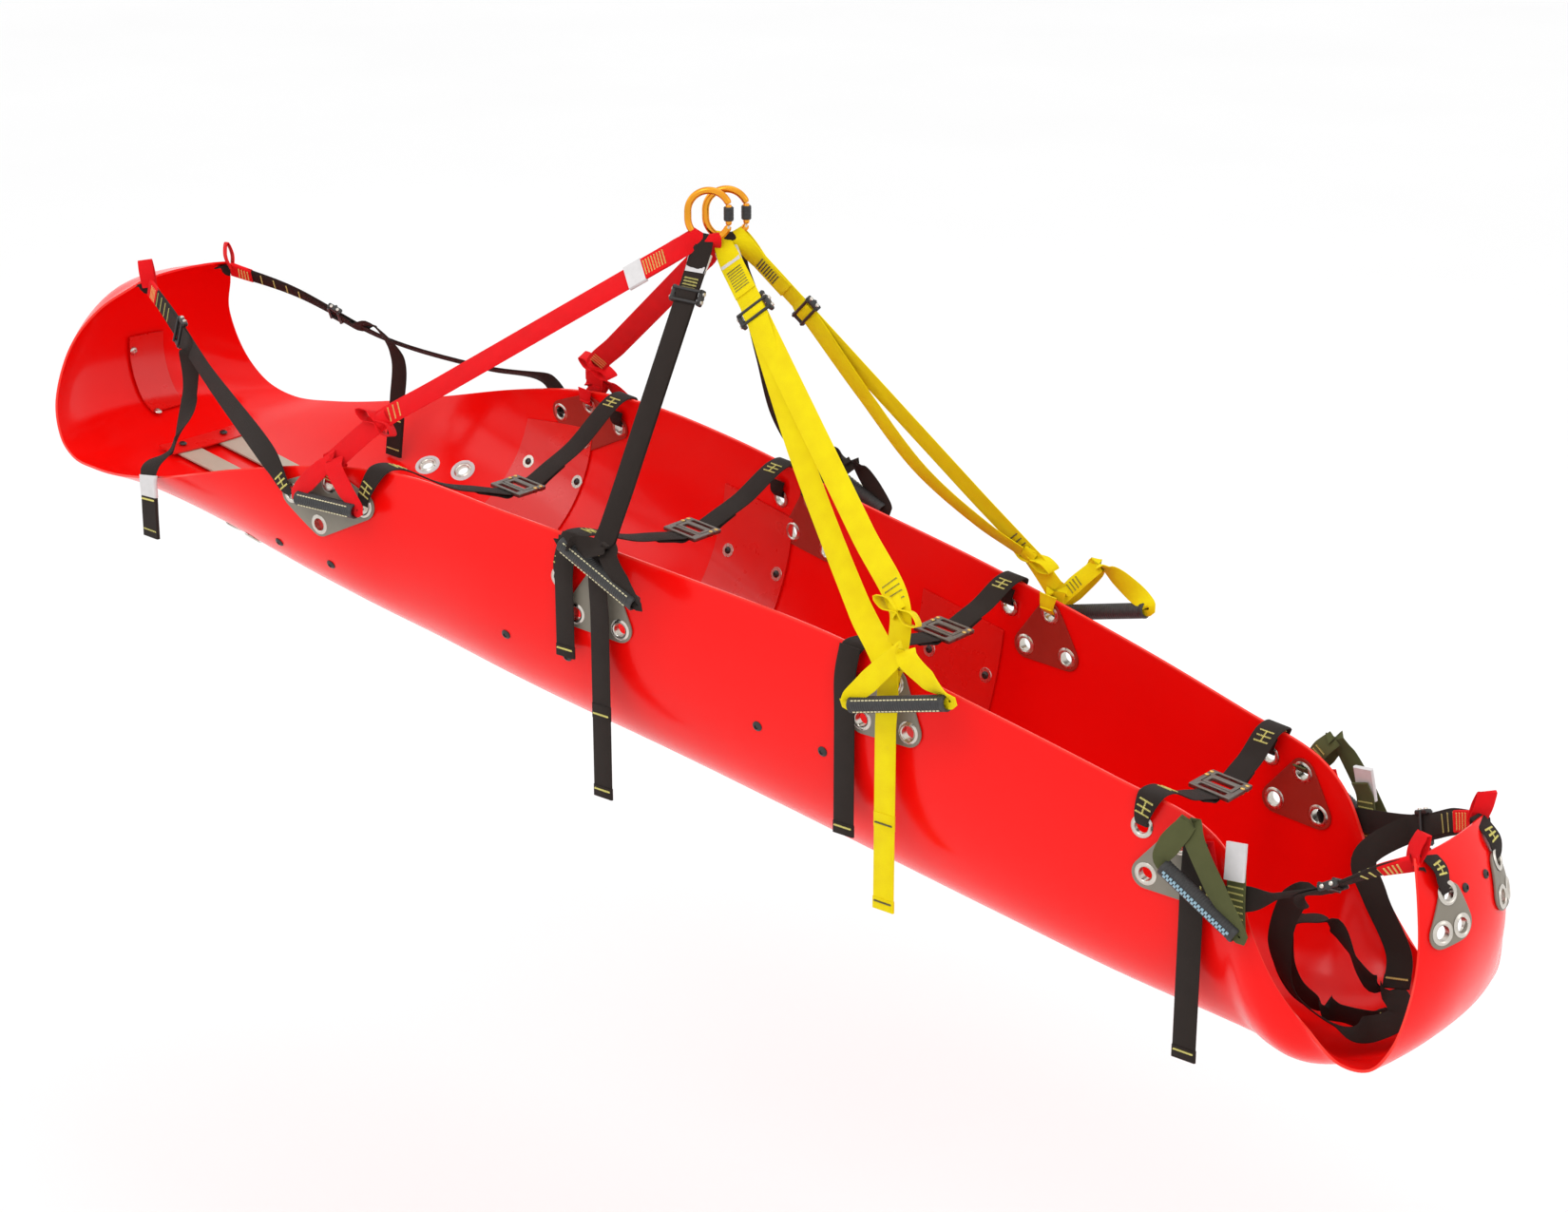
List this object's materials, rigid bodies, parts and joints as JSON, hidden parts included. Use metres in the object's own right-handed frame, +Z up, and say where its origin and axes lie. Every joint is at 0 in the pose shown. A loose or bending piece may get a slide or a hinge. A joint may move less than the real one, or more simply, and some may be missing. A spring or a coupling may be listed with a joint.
{
  "type": "wrap-around rescue stretcher with lifting bridle",
  "caption": "Flexible plastic sheet curled into a trough with a head hood and a foot flap, hung from a webbing bridle on screw-gate karabiners, with buckled casualty straps.",
  "frame": {"origin": "the lifting point, inside the top of the karabiners' bows", "axes": "+X horizontal, towards the foot end; +Y towards the far side wall; +Z up, as it hangs"},
  "size_m": [2.1624, 0.5357, 0.8226],
  "materials": {
    "shell": "smooth, glossy",
    "band": "smooth",
    "batten": "matt",
    "plate": "matt with steel eyelets",
    "karabiner": "orange-gold anodised",
    "sleeve": "black, knurled",
    "webbing_red": "woven",
    "webbing_yellow": "woven",
    "webbing_black": "woven",
    "webbing_olive": "woven",
    "adjuster": "black",
    "buckle": "dark grey"
  },
  "bodies": {
    "stretcher": {"shell": "shell", "band_chest": "band", "band_waist": "band", "band_leg": "band", "batten_near": "batten", "batten_far": "batten", "plate_head_near": "plate", "plate_head_far": "plate", "plate_middle_near": "plate", "plate_middle_far": "plate", "plate_footmid_near": "plate", "plate_footmid_far": "plate", "plate_foot_near": "plate", "plate_foot_far": "plate", "plate_flap_near": "plate", "plate_flap_far": "plate", "karabiner_a_body": "karabiner", "karabiner_b_body": "karabiner", "leg_red_near": "webbing_red", "leg_red_far": "webbing_red", "leg_black_near": "webbing_black", "leg_yellow_near": "webbing_yellow", "leg_black_far": "webbing_black", "leg_yellow_far": "webbing_yellow", "patient_strap_1_near": "webbing_black", "patient_strap_1_far": "webbing_black", "patient_strap_2_near": "webbing_black", "patient_strap_2_far": "webbing_black", "patient_strap_3_near": "webbing_black", "patient_strap_3_far": "webbing_black", "patient_strap_4_near": "webbing_black", "patient_strap_4_far": "webbing_black", "buckle_1_frame": "buckle", "buckle_2_frame": "buckle", "buckle_3_frame": "buckle", "buckle_4_frame": "buckle", "end_strap_head_near": "webbing_black", "end_strap_head_far": "webbing_black", "end_strap_foot_near": "webbing_black", "end_strap_foot_far": "webbing_black"},
    "gate_a": {"karabiner_a_gate": "karabiner"},
    "sleeve_a": {"karabiner_a_sleeve": "sleeve"},
    "gate_b": {"karabiner_b_gate": "karabiner"},
    "sleeve_b": {"karabiner_b_sleeve": "sleeve"},
    "adjuster_black_near": {"adjuster_black_near": "adjuster"},
    "adjuster_yellow_near": {"adjuster_yellow_near": "adjuster"},
    "adjuster_black_far": {"adjuster_black_far": "adjuster"},
    "adjuster_yellow_far": {"adjuster_yellow_far": "adjuster"},
    "handle_head_near": {"handle_head_near": "webbing_red"},
    "handle_head_far": {"handle_head_far": "webbing_red"},
    "handle_middle_near": {"handle_middle_near": "webbing_black"},
    "handle_middle_far": {"handle_middle_far": "webbing_black"},
    "handle_footmid_near": {"handle_footmid_near": "webbing_yellow"},
    "handle_footmid_far": {"handle_footmid_far": "webbing_yellow"},
    "handle_foot_near": {"handle_foot_near": "webbing_olive"},
    "handle_foot_far": {"handle_foot_far": "webbing_olive"},
    "tongue_1": {"buckle_1_tongue": "buckle"},
    "tongue_2": {"buckle_2_tongue": "buckle"},
    "tongue_3": {"buckle_3_tongue": "buckle"},
    "tongue_4": {"buckle_4_tongue": "buckle"}
  },
  "joints": [
    {"name": "gate_a_swing", "type": "hinge", "parent": "stretcher", "child": "gate_a", "pos_m": [0.01423, 0.00282, -0.03105], "axis": [0.6143, -0.7891, 0], "range_deg": [0, 18], "stiffness_Nm_per_rad": 0.03, "springref_deg": -11.46},
    {"name": "sleeve_a_turn", "type": "hinge", "parent": "gate_a", "child": "sleeve_a", "pos_m": [0.01423, 0.00282, -0.02408], "axis": [0, 0, 1], "continuous": true},
    {"name": "gate_b_swing", "type": "hinge", "parent": "stretcher", "child": "gate_b", "pos_m": [0.02198, 0.02537, -0.03189], "axis": [0.6143, -0.7891, 0], "range_deg": [0, 18], "stiffness_Nm_per_rad": 0.03, "springref_deg": -11.46},
    {"name": "sleeve_b_turn", "type": "hinge", "parent": "gate_b", "child": "sleeve_b", "pos_m": [0.02198, 0.02537, -0.02492], "axis": [0, 0, 1], "continuous": true},
    {"name": "handle_head_near_swing", "type": "hinge", "parent": "stretcher", "child": "handle_head_near", "pos_m": [-0.43125, -0.26052, -0.3761], "axis": [0, 1, 0], "range_deg": [-12, 12]},
    {"name": "handle_head_far_swing", "type": "hinge", "parent": "stretcher", "child": "handle_head_far", "pos_m": [-0.43125, 0.26052, -0.3761], "axis": [0, 1, 0], "range_deg": [-12, 12]},
    {"name": "handle_middle_near_swing", "type": "hinge", "parent": "stretcher", "child": "handle_middle_near", "pos_m": [-0.00822, -0.21885, -0.41908], "axis": [0, 1, 0], "range_deg": [-12, 12]},
    {"name": "handle_middle_far_swing", "type": "hinge", "parent": "stretcher", "child": "handle_middle_far", "pos_m": [-0.00822, 0.21885, -0.41908], "axis": [0, 1, 0], "range_deg": [-12, 12]},
    {"name": "handle_footmid_near_swing", "type": "hinge", "parent": "stretcher", "child": "handle_footmid_near", "pos_m": [0.38767, -0.17675, -0.4673], "axis": [0, 1, 0], "range_deg": [-12, 12]},
    {"name": "handle_footmid_far_swing", "type": "hinge", "parent": "stretcher", "child": "handle_footmid_far", "pos_m": [0.38767, 0.17675, -0.4673], "axis": [0, 1, 0], "range_deg": [-12, 12]},
    {"name": "handle_foot_near_swing", "type": "hinge", "parent": "stretcher", "child": "handle_foot_near", "pos_m": [0.74909, -0.15257, -0.56488], "axis": [0, 1, 0], "range_deg": [-12, 12]},
    {"name": "handle_foot_far_swing", "type": "hinge", "parent": "stretcher", "child": "handle_foot_far", "pos_m": [0.74909, 0.15257, -0.56488], "axis": [0, 1, 0], "range_deg": [-12, 12]},
    {"name": "buckle_1_release", "type": "slide", "parent": "stretcher", "child": "tongue_1", "axis": [0, 1, 0], "range_m": [0, 0.01]},
    {"name": "buckle_2_release", "type": "slide", "parent": "stretcher", "child": "tongue_2", "axis": [0, 1, 0], "range_m": [0, 0.01]},
    {"name": "buckle_3_release", "type": "slide", "parent": "stretcher", "child": "tongue_3", "axis": [0, 1, 0], "range_m": [0, 0.01]},
    {"name": "buckle_4_release", "type": "slide", "parent": "stretcher", "child": "tongue_4", "axis": [0, 1, 0], "range_m": [0, 0.01]},
    {"name": "adjuster_black_near_slide", "type": "slide", "parent": "stretcher", "child": "adjuster_black_near", "axis": [-0.0002, -0.4843, -0.8749], "range_m": [-0.01, 0.05]},
    {"name": "adjuster_yellow_near_slide", "type": "slide", "parent": "stretcher", "child": "adjuster_yellow_near", "axis": [0.7357, -0.299, -0.6078], "range_m": [-0.01, 0.05]},
    {"name": "adjuster_black_far_slide", "type": "slide", "parent": "stretcher", "child": "adjuster_black_far", "axis": [-0.0464, 0.486, -0.8727], "range_m": [-0.01, 0.05]},
    {"name": "adjuster_yellow_far_slide", "type": "slide", "parent": "stretcher", "child": "adjuster_yellow_far", "axis": [0.6668, 0.2569, -0.6996], "range_m": [-0.01, 0.05]}
  ]
}
